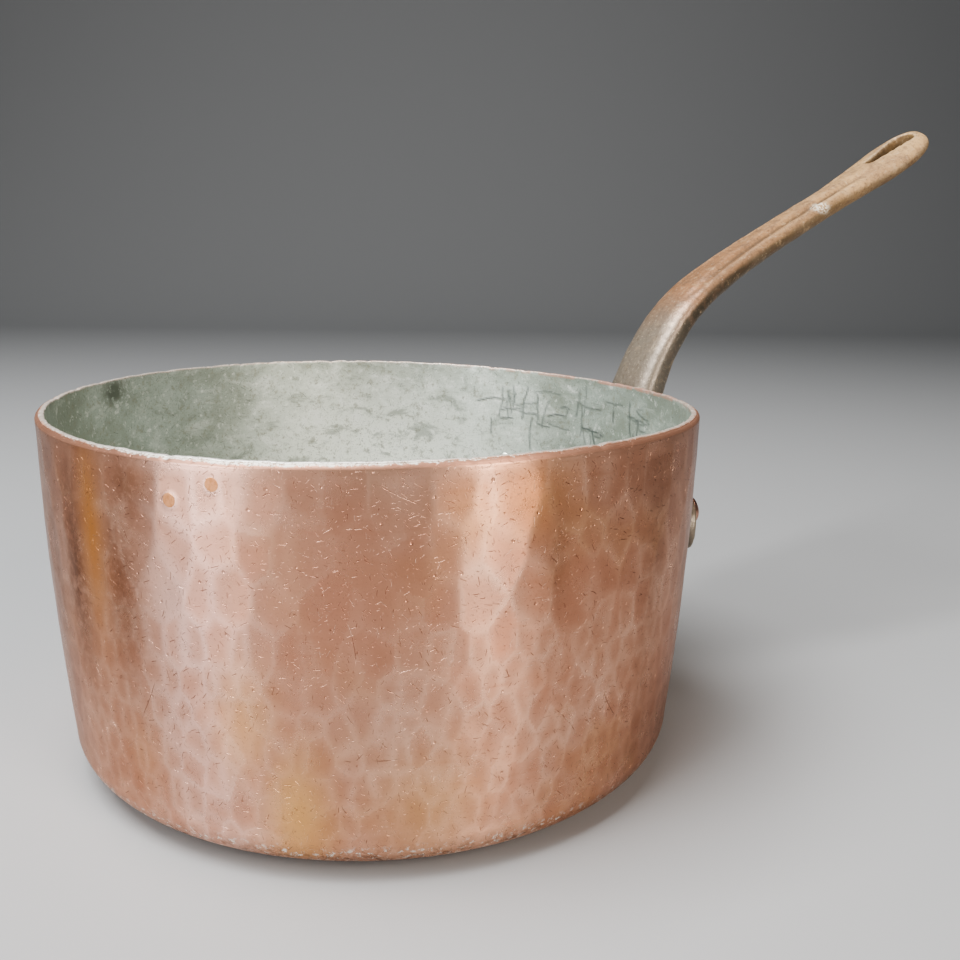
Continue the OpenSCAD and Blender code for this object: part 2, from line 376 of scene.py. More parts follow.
def copper_finish(theta, r, z, v, flat_length, outside_length):
    """Hammer marks on the outside, the bent and nicked rim, the masks for painted shade on the
    marks, and the patches of stain and painted light.
    """
    outside = v < outside_length
    depth = np.zeros(theta.shape)
    hollow_shade = np.zeros(theta.shape)
    facet_shade = np.full(theta.shape, 0.5)
    marked = outside & (v > flat_length - MM)
    along = v[marked] - flat_length
    total = outside_length - flat_length
    depth[marked], hollow_shade[marked], facet_shade[marked] = hammer(theta[marked], along, total)
    strength = np.clip((z - 3 * MM) / (12 * MM), 0.0, 1)
    strength *= np.clip((PAN_H - 1.5 * MM - z) / (4 * MM), 0, 1)
    strength *= 1 - 0.85 * patch_strength("smooth", theta, z)
    strength *= 1 - plug_seats(theta, z)
    up, inward = rim_shift(theta, z)
    r = r - depth * strength - 0.03 * MM * plug_seats(theta, z) * outside
    result = {
        "points": upright(theta, r - inward * outside, z + up),
        # masks for painted shade: inside each mark, and each mark's own share
        "hollow_shade": hollow_shade * strength,
        "facet_shade": facet_shade,
        "worn": np.clip(1 - z / (12 * MM), 0, 1) * outside,
        "drop": PAN_H - z,
        "rim_highlight": rim_highlight(theta, z),
    }
    for kind in ("smooth", "brown", "orange", "yellow", "pink_highlight", "pale"):
        result[kind] = patch_strength(kind, theta, z)
    return result


def scored(theta, z):
    """Dark scratches that cross each other on the inside wall by the handle."""
    rng = np.random.default_rng(12)
    marks = np.zeros(theta.shape)
    for i in range(SCORED_LINES):
        side = math.radians(rng.uniform(-13, 33))
        height = rng.uniform(PAN_H - 26 * MM, PAN_H - 7 * MM)
        half = rng.uniform(2.5, 7.5) * MM
        tilt = math.radians(90 * (i % 2) + rng.normal(0, 9))
        s = angle_between(theta, side) * RIM_R
        t = z - height
        along = np.abs(s * math.cos(tilt) + t * math.sin(tilt))
        bend = 0.35 * MM * np.sin(along / (1.7 * MM) + i)
        across = np.abs(t * math.cos(tilt) - s * math.sin(tilt) + bend)
        line = np.clip(1.2 - across / (0.5 * MM), 0, 1) * np.clip((half - along) / MM, 0, 1)
        marks = np.maximum(marks, line * rng.uniform(0.55, 1))
    return marks


def tin_finish(theta, r, z, v):
    """The tin follows the copper's bent rim, and is a little uneven where it was wiped."""
    up, inward = rim_shift(theta, z)
    edge = np.clip((z - (PAN_H - 2.2 * MM)) / (2 * MM), 0, 1)
    wobble = edge * 0.10 * MM * (ripple(theta, 210, 5) + 0.7 * ripple(theta, 500, 6))
    lip = np.clip((r - (RIM_R - WALL_T)) / (WALL_T - BEVEL), 0, 1)
    within = r < RIM_R - WALL_T + 0.05 * MM
    middle = 0.4 * np.clip(1 - r / RIM_R, 0, 1)
    return {
        "points": upright(theta, r + wobble * (1 - lip) - inward * lip, z + up),
        "drop": PAN_H - z,
        "bare": patch(theta, z, -5, PAN_H, 40, 9 * MM),
        "rim_highlight": rim_highlight(theta, z),
        "lip": lip,
        # painted highlight: a bright patch on the back wall, and the floor made paler towards the
        # middle so that it throws more light onto the wall
        "bright_tone": np.maximum(patch(theta, z, 60, 56 * MM, 34, 44 * MM), middle),
        "dirt": patch(theta, z, 129.0, 105 * MM, 3.6, 4.5 * MM),
        "scored": scored(theta, z) * within,
    }


def pan_copper():
    """Closed copper shell: base, hammered wall, filed rim, and the inside that the tin covers."""
    shoulder = PAN_H - TIN_T
    outer = outline(0, shoulder - BEVEL)
    bevel = np.array([[RIM_R - BEVEL * x, shoulder - BEVEL * (1 - y)]
                      for x, y in ((0.12, 0.35), (0.35, 0.68), (0.68, 0.92), (1.0, 1.0))])
    top = np.array([[RIM_R - COPPER_T * 0.7, shoulder], [RIM_R - COPPER_T, shoulder]])
    inner = outline(COPPER_T, shoulder)[::-1][6::6]
    base = disc(outer[0, 0], 0, 2 * MM)
    floor = disc(inner[-1, 0], COPPER_T, 6 * MM)[::-1]
    flat_length = outer[0, 0] - base[0, 0]
    steps = np.diff(np.concatenate([base, outer]), axis=0)
    outside_length = float(np.hypot(*steps.T).sum())

    def finish(theta, r, z, v):
        return copper_finish(theta, r, z, v, flat_length, outside_length)

    rings = np.concatenate([base, outer, bevel, top, inner, floor])
    return lathe("pan_copper", rings, finish)


def pan_tin():
    """Closed skin of tin: up the inside, over the rim's flat, and back down against the copper."""
    step = 1.0 * MM
    inner = outline(WALL_T, PAN_H - 0.25 * MM)
    lip = np.array([[RIM_R - WALL_T + 0.06 * MM, PAN_H - 0.06 * MM],
                    [RIM_R - WALL_T + 0.25 * MM, PAN_H],
                    [RIM_R - 0.5 * WALL_T, PAN_H + 0.03 * MM],
                    [RIM_R - BEVEL - 0.15 * MM, PAN_H],
                    [RIM_R - BEVEL, PAN_H - 0.08 * MM],
                    [RIM_R - BEVEL, PAN_H - TIN_T]])
    outer = outline(COPPER_T, PAN_H - TIN_T)[::-1][::6]
    floor = disc(inner[0, 0], WALL_T, 2 * step)
    under = disc(outer[-1, 0], COPPER_T, 6 * MM)[::-1]
    rings = np.concatenate([floor, inner, lip, outer, under])
    return lathe("pan_tin", rings, tin_finish)


def mark_top(piece, up):
    """Writes how far each point faces along up: 1 on the top face, 0 at the sides and below."""
    mesh = piece.data
    normals = np.zeros(len(mesh.vertices) * 3)
    mesh.vertex_normals.foreach_get("vector", normals)
    facing = normals.reshape(-1, 3) @ np.array(up)
    share = np.clip((facing - 0.05) / 0.6, 0, 1)
    layer = mesh.attributes.new("top", "FLOAT", "POINT")
    layer.data.foreach_set("value", (share * share * (3 - 2 * share)).astype(np.float32))


def mark_crests(piece):
    """Writes how far each point stands out: 0.5 on a flat, more on an edge, less in a groove."""
    mesh = piece.data
    count = len(mesh.vertices)
    points = np.zeros(count * 3)
    normals = np.zeros(count * 3)
    ends = np.zeros(len(mesh.edges) * 2, int)
    mesh.vertices.foreach_get("co", points)
    mesh.vertex_normals.foreach_get("vector", normals)
    mesh.edges.foreach_get("vertices", ends)
    points = points.reshape(-1, 3)
    one, other = ends.reshape(-1, 2).T
    links = np.bincount(one, minlength=count) + np.bincount(other, minlength=count)
    links = np.maximum(links, 1)

    def mean_of_neighbours(values):
        total = np.bincount(one, values[other], count) + np.bincount(other, values[one], count)
        return total / links

    middle = np.stack([mean_of_neighbours(points[:, i]) for i in range(3)], 1)
    crest = ((points - middle) * normals.reshape(-1, 3)).sum(1) / (0.6 * MM)
    for _ in range(8):
        crest = mean_of_neighbours(crest)
    layer = mesh.attributes.new("crest", "FLOAT", "POINT")
    layer.data.foreach_set("value", np.clip(0.5 + 6 * crest, 0, 1).astype(np.float32))


def remeshed(node, name, voxel, rounds):
    """Copy of a CAD node as one evenly meshed skin, with its edges softened."""
    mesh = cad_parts[node].data.copy()
    work = bmesh.new()
    work.from_mesh(mesh)
    bmesh.ops.remove_doubles(work, verts=work.verts, dist=1e-6)
    work.to_mesh(mesh)
    work.free()
    piece = bpy.data.objects.new(name, mesh)
    bpy.context.scene.collection.objects.link(piece)
    remesh = piece.modifiers.new("skin", "REMESH")
    remesh.mode = "VOXEL"
    remesh.voxel_size = voxel
    smooth = piece.modifiers.new("soften", "SMOOTH")
    smooth.factor = 0.5
    smooth.iterations = rounds
    graph = bpy.context.evaluated_depsgraph_get()
    baked = bpy.data.meshes.new_from_object(piece.evaluated_get(graph))
    piece.modifiers.clear()
    piece.data = baked
    baked.name = name
    baked.materials.clear()
    baked.shade_smooth()
    return piece


def roughen(piece, layers):
    """Moves each point along its normal by layers of (feature size, height, seed) noise."""
    mesh = piece.data
    count = len(mesh.vertices)
    points = np.zeros(count * 3)
    normals = np.zeros(count * 3)
    mesh.vertices.foreach_get("co", points)
    mesh.vertex_normals.foreach_get("vector", normals)
    points = points.reshape(-1, 3)
    normals = normals.reshape(-1, 3)
    lift = np.zeros(count)
    for size, height, seed in layers:
        shift = Vector((seed, 2 * seed, 3 * seed))
        lift += height * np.array([noise.noise(Vector(p) / size + shift) for p in points])
    mesh.vertices.foreach_set("co", (points + normals * lift[:, None]).ravel())
    mesh.update()


# ---------------------------------------------------------------- materials

FULL_TURN = 6.283


class Paint:
    """One material and short calls that add nodes to it."""

    def __init__(self, name):
        self.material = bpy.data.materials.new(name)
        self.material.use_nodes = True
        self.tree = self.material.node_tree
        self.shader = self.tree.nodes["Principled BSDF"]

    def put(self, socket, value):
        """Links the socket to value, or sets it to value if that is no socket."""
        if isinstance(value, bpy.types.NodeSocket):
            self.tree.links.new(value, socket)
        elif value is not None:
            socket.default_value = value

    def set(self, **values):
        """Sets inputs of the shader, named with _ for each space."""
        for name, value in values.items():
            self.put(self.shader.inputs[name.replace("_", " ")], value)

    def node(self, kind, **settings):
        made = self.tree.nodes.new(kind)
        for name, value in settings.items():
            setattr(made, name, value)
        return made

    def calc(self, operation, a, b=None, c=None, clamp=False):
        made = self.node("ShaderNodeMath", operation=operation, use_clamp=clamp)
        for socket, value in zip(made.inputs, (a, b, c)):
            self.put(socket, value)
        return made.outputs[0]

    def vector(self, operation, a, b=None):
        made = self.node("ShaderNodeVectorMath", operation=operation)
        self.put(made.inputs[0], a)
        self.put(made.inputs[1], b)
        return made.outputs["Value" if operation == "LENGTH" else "Vector"]

    def attribute(self, name):
        return self.node("ShaderNodeAttribute", attribute_name=name).outputs["Fac"]

    def place(self):
        return self.node("ShaderNodeTexCoord").outputs["Object"]

    def unrolled(self):
        return self.node("ShaderNodeUVMap", uv_map="unrolled").outputs[0]

    def noise(self, size, where, detail=4.0, rough=0.55, warp=0.0):
        """Cloudy noise from 0 to 1 whose lumps are about size metres."""
        made = self.node("ShaderNodeTexNoise")
        self.put(made.inputs["Vector"], where)
        made.inputs["Scale"].default_value = 1 / size
        made.inputs["Detail"].default_value = detail
        made.inputs["Roughness"].default_value = rough
        made.inputs["Distortion"].default_value = warp
        return made.outputs["Fac"]

    def stretched(self, where, x, y, z, shift=0.0):
        """Coordinates scaled by x, y, z and moved along by shift."""
        made = self.node("ShaderNodeMapping")
        self.put(made.inputs["Vector"], where)
        made.inputs["Scale"].default_value = (x, y, z)
        made.inputs["Location"].default_value = (shift, 0.7 * shift, 0.3 * shift)
        return made.outputs[0]

    def step(self, value, low, high, to_low=0.0, to_high=1.0):
        """Smooth change from to_low to to_high as value goes from low to high."""
        made = self.node("ShaderNodeMapRange", interpolation_type="SMOOTHSTEP")
        self.put(made.inputs["Value"], value)
        made.inputs["From Min"].default_value = low
        made.inputs["From Max"].default_value = high
        made.inputs["To Min"].default_value = to_low
        made.inputs["To Max"].default_value = to_high
        return made.outputs[0]

    def blend(self, share, a, b):
        """Colour that goes from a to b as share goes from 0 to 1."""
        made = self.node("ShaderNodeMix", data_type="RGBA")
        self.put(made.inputs[0], share)
        self.put(made.inputs[6], colour(a))
        self.put(made.inputs[7], colour(b))
        return made.outputs[2]

    def scratches(self, where, cell, length, width, seed, crowd=1.0):
        """Short straight scratches, one to a cell of that size, each at its own angle."""
        spread = self.stretched(where, 1 / cell, 1 / cell, 1 / cell, seed)
        cells = self.node("ShaderNodeTexVoronoi", voronoi_dimensions="2D")
        self.put(cells.inputs["Vector"], spread)
        cells.inputs["Scale"].default_value = 1.0
        cells.inputs["Randomness"].default_value = 1.0
        offset = self.vector("SUBTRACT", spread, cells.outputs["Position"])
        dice = self.node("ShaderNodeSeparateColor")
        self.put(dice.inputs[0], cells.outputs["Color"])
        turned = self.node("ShaderNodeVectorRotate", rotation_type="Z_AXIS")
        self.put(turned.inputs["Vector"], offset)
        self.put(turned.inputs["Angle"], self.calc("MULTIPLY", dice.outputs[0], FULL_TURN))
        axis = self.node("ShaderNodeSeparateXYZ")
        self.put(axis.inputs[0], turned.outputs[0])
        bent = self.calc("MULTIPLY_ADD", self.calc("MULTIPLY", axis.outputs[0], axis.outputs[0]),
                         self.calc("SUBTRACT", dice.outputs[1], 0.5), axis.outputs[1])
        across = self.step(self.calc("ABSOLUTE", bent), 0.35 * width / cell, width / cell, 1, 0)
        long = self.calc("MULTIPLY", dice.outputs[2], length / cell)
        along = self.calc("SUBTRACT", self.calc("ABSOLUTE", axis.outputs[0]), long)
        ends = self.step(along, -0.08, 0.02, 1, 0)
        chosen = self.calc("LESS_THAN", dice.outputs[1], crowd)
        return self.calc("MULTIPLY", self.calc("MULTIPLY", across, ends), chosen)

    def dents(self, where, cell, radius, seed, crowd=1.0):
        """Small round dents, one to a cell of that size: 1 in the middle, 0 outside."""
        spread = self.stretched(where, 1 / cell, 1 / cell, 1 / cell, seed)
        cells = self.node("ShaderNodeTexVoronoi", voronoi_dimensions="2D")
        self.put(cells.inputs["Vector"], spread)
        cells.inputs["Scale"].default_value = 1.0
        dice = self.node("ShaderNodeSeparateColor")
        self.put(dice.inputs[0], cells.outputs["Color"])
        size = self.calc("MULTIPLY", dice.outputs[0], radius / cell)
        bowl = self.calc("SUBTRACT", 1.0, self.calc("DIVIDE", cells.outputs["Distance"], size))
        chosen = self.calc("LESS_THAN", dice.outputs[1], crowd)
        return self.calc("MULTIPLY", self.step(bowl, 0.0, 0.7), chosen)

    def bump(self, height, distance, strength):
        """Normal of a surface whose relief is height times distance."""
        made = self.node("ShaderNodeBump")
        made.inputs["Strength"].default_value = strength
        made.inputs["Distance"].default_value = distance
        self.put(made.inputs["Height"], height)
        return made.outputs[0]


def colour(value):
    """The same value, with an alpha of 1 added if it is a plain colour."""
    return (*value, 1.0) if isinstance(value, tuple) and len(value) == 3 else value


# Colours of the wall, the tin and the iron, as linear red, green and blue.
COPPER = {
    "bright_tone": (0.74, 0.445, 0.32),
    "tarnished": (0.62, 0.325, 0.215),
    "golden": (0.63, 0.33, 0.17),
    "smooth": (0.58, 0.285, 0.19),
    "streaked": (0.46, 0.20, 0.12),
    "pink_highlight": (0.72, 0.48, 0.42),
    "pale": (0.86, 0.62, 0.51),
    "facet shade": (0.45, 0.19, 0.115),
    "hollow_shade": (0.42, 0.18, 0.105),
    "brown": (0.17, 0.07, 0.035),
    "orange": (0.56, 0.235, 0.065),
    "yellow": (0.76, 0.43, 0.16),
    "grain": (0.30, 0.14, 0.085),
    "bright scratch": (0.93, 0.72, 0.60),
    "dark scratch": (0.14, 0.06, 0.04),
    "pit": (0.16, 0.07, 0.045),
    "dent": (0.25, 0.11, 0.07),
    "rubbed base": (0.70, 0.46, 0.37),
    "dirt": (0.20, 0.10, 0.06),
    "chip": (0.93, 0.86, 0.78),
    "filed": (0.43, 0.225, 0.155),
    "smeared tin": (0.72, 0.68, 0.62),
    "smear speck": (0.34, 0.24, 0.18),
}
TIN = {
    "light": (0.355, 0.405, 0.365),
    "dark": (0.235, 0.270, 0.225),
    "bright_tone": (0.97, 0.99, 0.91),
    "pale spot": (0.72, 0.74, 0.70),
    "dark spot": (0.24, 0.265, 0.225),
    "crust": (0.25, 0.25, 0.19),
    "fleck": (0.78, 0.79, 0.75),
    "grain": (0.13, 0.14, 0.11),
    "dirt": (0.12, 0.135, 0.11),
    "scored": (0.06, 0.075, 0.072),
    "rim": (0.52, 0.46, 0.40),
    "rim highlight": (0.84, 0.83, 0.78),
    "coppery rim": (0.50, 0.31, 0.23),
    "rim dirt": (0.26, 0.18, 0.13),
    "rim fleck": (0.90, 0.89, 0.85),
    "bare copper": (0.50, 0.27, 0.20),
}
IRON = {
    "rust": (0.30, 0.155, 0.080),
    "tan": (0.49, 0.32, 0.155),
    "dark neck": (0.15, 0.135, 0.105),
    "rust cloud": (0.23, 0.135, 0.075),
    "under neck": (0.060, 0.050, 0.035),
    "under tip": (0.32, 0.21, 0.105),
    "under cloud": (0.07, 0.05, 0.032),
    "crest": (0.50, 0.40, 0.28),
    "groove": (0.11, 0.07, 0.04),
    "dark spot": (0.15, 0.095, 0.06),
    "pale spot": (0.50, 0.36, 0.22),
    "grey neck": (0.16, 0.152, 0.128),
    "dark speck": (0.09, 0.065, 0.045),
    "pale speck": (0.54, 0.45, 0.34),
    "grain": (0.10, 0.07, 0.05),
    "scuff": (0.80, 0.74, 0.62),
}


def copper_tones(p, where, flat, blotch, grain):
    """Colour of the bare wall: tarnish, heat stains, painted highlights, and painted shade on the
    hammer marks, more on some marks than others and more inside them than on their ridges.
    """
    clouds = p.noise(48 * MM, where, 3)
    drift = p.noise(26 * MM, where, 2)
    streak = p.noise(4 * MM, p.stretched(flat, 0.25, 1.7, 1), 3)
    tarnish = p.calc("MULTIPLY_ADD", clouds, 0.7, p.calc("MULTIPLY", blotch, 0.3))
    patchy = p.step(p.noise(2.6 * MM, where, 5, 0.7), 0.30, 0.60, 0.45, 1)
    base = p.blend(p.step(tarnish, 0.40, 0.64), COPPER["bright_tone"], COPPER["tarnished"])
    base = p.blend(p.step(drift, 0.50, 0.70, 0, 0.5), base, COPPER["golden"])
    base = p.blend(p.calc("MULTIPLY", p.attribute("smooth"), 0.8), base, COPPER["smooth"])
    base = p.blend(p.step(streak, 0.5, 0.8, 0, 0.30), base, COPPER["streaked"])
    # painted highlights: pinkish and pale patches
    base = p.blend(p.attribute("pink_highlight"), base, COPPER["pink_highlight"])
    base = p.blend(p.attribute("pale"), base, COPPER["pale"])
    # painted shade: each hammer mark darkened by its own share, and darker inside than on its
    # ridges
    base = p.blend(p.step(p.attribute("facet_shade"), 0.3, 1.0, 0, 0.32), base, COPPER["facet shade"])
    base = p.blend(p.calc("MULTIPLY", p.attribute("hollow_shade"), 0.42), base, COPPER["hollow_shade"])
    base = p.blend(p.calc("MULTIPLY", p.attribute("brown"), patchy), base, COPPER["brown"])
    base = p.blend(p.attribute("orange"), base, COPPER["orange"])
    base = p.blend(p.attribute("yellow"), base, COPPER["yellow"])
    return p.blend(p.step(grain, 0.56, 0.76, 0, 0.25), base, COPPER["grain"])


def copper_scratches(p, flat):
    """Masks of the scratches of all four lengths, of the dents and of the pits."""
    short = p.scratches(flat, 3.4 * MM, 1.3 * MM, 0.10 * MM, 3.1, 0.65)
    fine = p.scratches(flat, 1.4 * MM, 0.5 * MM, 0.08 * MM, 9.7, 0.7)
    hair = p.scratches(flat, 2.2 * MM, 1.0 * MM, 0.09 * MM, 41.3, 0.65)
    long = p.scratches(flat, 30 * MM, 8 * MM, 0.12 * MM, 29.9, 0.45)
    grooves = p.calc("MAXIMUM", p.calc("MAXIMUM", short, p.calc("MULTIPLY", fine, 0.6)), long)
    grooves = p.calc("MAXIMUM", grooves, p.calc("MULTIPLY", hair, 0.8))
    dents = p.dents(flat, 6.2 * MM, 0.55 * MM, 13.9, 0.55)
    pits = p.dents(flat, 2.4 * MM, 0.16 * MM, 23.9, 0.4)
    return grooves, dents, pits


def paint_scratches(p, base, flat, grooves, dents, pits):
    """Scratches that are bright in places and dark elsewhere; inside the painted highlights they
    are dark, painted shade against the highlight.
    """
    lit = p.calc("MAXIMUM", p.attribute("pink_highlight"), p.attribute("pale"))
    bright = p.calc("SUBTRACT", p.step(p.noise(5 * MM, flat, 2), 0.46, 0.56),
                    p.calc("MULTIPLY", lit, 1.6), clamp=True)
    shiny = p.calc("MULTIPLY", grooves, bright)
    dull = p.calc("MULTIPLY", grooves, p.calc("SUBTRACT", 1.0, bright))
    base = p.blend(p.calc("MULTIPLY", shiny, 0.24), base, COPPER["bright scratch"])
    base = p.blend(p.calc("MULTIPLY", dull, 0.8), base, COPPER["dark scratch"])
    base = p.blend(p.calc("MULTIPLY", pits, 0.75), base, COPPER["pit"])
    return p.blend(p.calc("MULTIPLY", dents, 0.35), base, COPPER["dent"])


def paint_base_edge(p, base, where):
    """The edge that the pan stands on: rubbed, soiled, and chipped down to pale metal."""
    worn = p.attribute("worn")
    chipped = p.calc("MULTIPLY", p.step(p.noise(1.7 * MM, where, 5, 0.75), 0.565, 0.59),
                     p.step(worn, 0.0, 0.30))
    soiled = p.calc("MULTIPLY", p.step(p.noise(2.4 * MM, where, 5, 0.7), 0.50, 0.58, 0, 0.6),
                    p.step(worn, 0.0, 0.5))
    base = p.blend(p.step(worn, 0.2, 0.9, 0, 0.4), base, COPPER["rubbed base"])
    base = p.blend(soiled, base, COPPER["dirt"])
    return p.blend(chipped, base, COPPER["chip"])


def rim_bands(p, where):
    """Masks of the ragged smear of tin at the rim and of the filed edge under it."""
    ragged = p.calc("MULTIPLY", p.noise(1.6 * MM, where, 4, 0.75), 1.9 * MM)
    # the smear runs further down on the front stretch, as part of the painted rim highlight
    ragged = p.calc("MULTIPLY_ADD", p.attribute("rim_highlight"), 0.75 * MM, ragged)
    ragged = p.calc("SUBTRACT", ragged, p.attribute("drop"))
    smear = p.step(ragged, 0.85 * MM, 1.05 * MM)
    filed = p.step(p.attribute("drop"), 1.1 * MM, 1.6 * MM, 1, 0)
    return smear, filed


def copper_material():
    """Worn polished copper: brown tarnish, heat stains, dents and scratches, tin at the rim, with
    painted highlights and painted shade in its colour.
    """
    p = Paint("hammered_copper")
    where = p.place()
    flat = p.unrolled()
    blotch = p.noise(9 * MM, where, 5, 0.6)
    grain = p.noise(0.55 * MM, where, 2)
    speck = p.step(p.noise(0.9 * MM, where, 4, 0.8), 0.50, 0.60)
    grooves, dents, pits = copper_scratches(p, flat)
    smear, filed = rim_bands(p, where)

    base = copper_tones(p, where, flat, blotch, grain)
    base = paint_scratches(p, base, flat, grooves, dents, pits)
    base = paint_base_edge(p, base, where)
    base = p.blend(p.calc("MULTIPLY", filed, 0.75), base, COPPER["filed"])
    base = p.blend(smear, base, p.blend(speck, COPPER["smeared tin"], COPPER["smear speck"]))

    shine = p.calc("MULTIPLY_ADD", blotch, 0.18, 0.20)
    shine = p.calc("MULTIPLY_ADD", grooves, 0.12, shine)
    shine = p.calc("MULTIPLY_ADD", smear, 0.15, shine)
    shine = p.calc("MULTIPLY_ADD", filed, 0.25, shine)
    plain = p.calc("MAXIMUM", smear, p.calc("MULTIPLY", filed, 0.4))
    sunk = p.calc("ADD", grooves, p.calc("MULTIPLY", p.calc("MAXIMUM", dents, pits), 1.4))
    relief = p.calc("SUBTRACT", p.calc("MULTIPLY", grain, 0.22), sunk)
    p.set(Base_Color=base, Roughness=shine, Metallic=p.calc("MULTIPLY_ADD", plain, -0.6, 1.0),
          Specular_Tint=(0.86, 0.76, 0.72, 1), Anisotropic=0.85, Anisotropic_Rotation=0.25,
          Normal=p.bump(relief, 0.06 * MM, 1.0))
    tangent = p.node("ShaderNodeTangent", direction_type="RADIAL", axis="Z")
    p.put(p.shader.inputs["Tangent"], tangent.outputs[0])
    return p.material


def tin_tones(p, where, mottle, crust):
    """Colour of the wiped tin, before it is scored: clouded, mottled, crusted and soiled, with a
    painted highlight on the back wall.
    """
    clouds = p.noise(32 * MM, where, 4, 0.6)
    grain = p.noise(0.6 * MM, where, 2)
    bright_tone = p.attribute("bright_tone")
    pale = p.calc("MULTIPLY", p.step(mottle, 0.50, 0.66, 0, 0.7), p.step(bright_tone, 0.0, 0.5, 0.4, 1))
    dirt = p.calc("MULTIPLY", p.attribute("dirt"), p.step(crust, 0.42, 0.52, 0.4, 1.2))
    base = p.blend(p.step(clouds, 0.36, 0.66), TIN["light"], TIN["dark"])
    # painted highlight: the bright patch on the back wall and the paler floor
    base = p.blend(bright_tone, base, TIN["bright_tone"])
    base = p.blend(pale, base, TIN["pale spot"])
    base = p.blend(p.step(mottle, 0.36, 0.48, 0.6, 0), base, TIN["dark spot"])
    base = p.blend(p.step(crust, 0.54, 0.64, 0, 0.6), base, TIN["crust"])
    base = p.blend(p.step(crust, 0.34, 0.44, 0.5, 0), base, TIN["fleck"])
    base = p.blend(p.step(grain, 0.54, 0.72, 0, 0.4), base, TIN["grain"])
    return p.blend(dirt, base, TIN["dirt"])


def tin_rim_tones(p, where):
    """Colour of the tin on the rim's flat: thin and coppery towards its outer edge, with a painted
    highlight along its front stretch.
    """
    edge = p.calc("MULTIPLY_ADD", p.noise(2.2 * MM, where, 4, 0.7), 1.4, -0.7)
    edge = p.calc("ADD", p.calc("ADD", edge, p.attribute("lip")),
                  p.calc("MULTIPLY", p.attribute("rim_highlight"), -0.6))
    dirt = p.step(p.noise(0.9 * MM, where, 4, 0.8), 0.52, 0.62, 0, 0.75)
    fleck = p.step(p.noise(1.1 * MM, where, 4, 0.8), 0.34, 0.43, 0.9, 0)
    # painted highlight: the front stretch of the rim made paler
    rim = p.blend(p.attribute("rim_highlight"), TIN["rim"], TIN["rim highlight"])
    rim = p.blend(p.step(edge, 0.70, 0.95), rim, TIN["coppery rim"])
    rim = p.blend(dirt, rim, TIN["rim dirt"])
    return p.blend(fleck, rim, TIN["rim fleck"])


def tin_material():
    """Old wiped tin: dull grey-green, mottled, pitted, scored by spoons, with painted highlights on
    the back wall and along the front of the rim.
    """
    p = Paint("wiped_tin")
    where = p.place()
    flat = p.unrolled()
    mottle = p.noise(8 * MM, p.stretched(flat, 0.6, 1.2, 1), 6, 0.7, 0.4)
    crust = p.noise(2.6 * MM, where, 5, 0.75)
    fine = p.scratches(flat, 4 * MM, 1.4 * MM, 0.16 * MM, 12.5, 0.7)
    marks = p.calc("MAXIMUM", p.attribute("scored"), p.calc("MULTIPLY", fine, 0.5))
    ragged = p.calc("MULTIPLY", p.noise(1.2 * MM, where, 4, 0.8), 1.2 * MM)
    ragged = p.calc("SUBTRACT", ragged, p.attribute("drop"))
    rubbed = p.step(ragged, 0.05 * MM, 0.35 * MM)
    bare = p.calc("MULTIPLY", p.attribute("bare"), p.step(p.noise(5 * MM, where, 3), 0.42, 0.56))
    bare = p.calc("MULTIPLY", bare, p.step(p.attribute("drop"), 0.9 * MM, 1.4 * MM, 1, 0))

    base = tin_tones(p, where, mottle, crust)
    base = p.blend(p.calc("MULTIPLY", marks, 0.9), base, TIN["scored"])
    base = p.blend(rubbed, base, tin_rim_tones(p, where))
    base = p.blend(p.calc("MULTIPLY", bare, 0.8), base, TIN["bare copper"])

    shine = p.calc("MULTIPLY_ADD", mottle, 0.22, 0.36)
    relief = p.calc("ADD", p.calc("MULTIPLY", mottle, 0.6), p.calc("MULTIPLY", crust, 0.6))
    relief = p.calc("SUBTRACT", relief, marks)
    p.set(Base_Color=base, Roughness=shine, Metallic=0.55, Normal=p.bump(relief, 0.10 * MM, 0.7))
    return p.material


def iron_tones(p, where, far, near):
    """Colour of the handle's top and underside, from the grey neck to the tan tip; the underside is
    darker, painted shade with some grime.
    """
    clouds = p.noise(20 * MM, where, 4, 0.6)
    top = p.blend(far, IRON["rust"], IRON["tan"])
    top = p.blend(p.calc("MULTIPLY", near, 0.9), top, IRON["dark neck"])
    top = p.blend(p.step(clouds, 0.42, 0.62, 0, 0.55), top, IRON["rust cloud"])
    # darker underside: painted shade, with some grime
    under = p.blend(far, IRON["under neck"], IRON["under tip"])
    under = p.blend(p.step(clouds, 0.40, 0.60, 0, 0.4), under, IRON["under cloud"])
    return p.blend(p.attribute("top"), under, top)


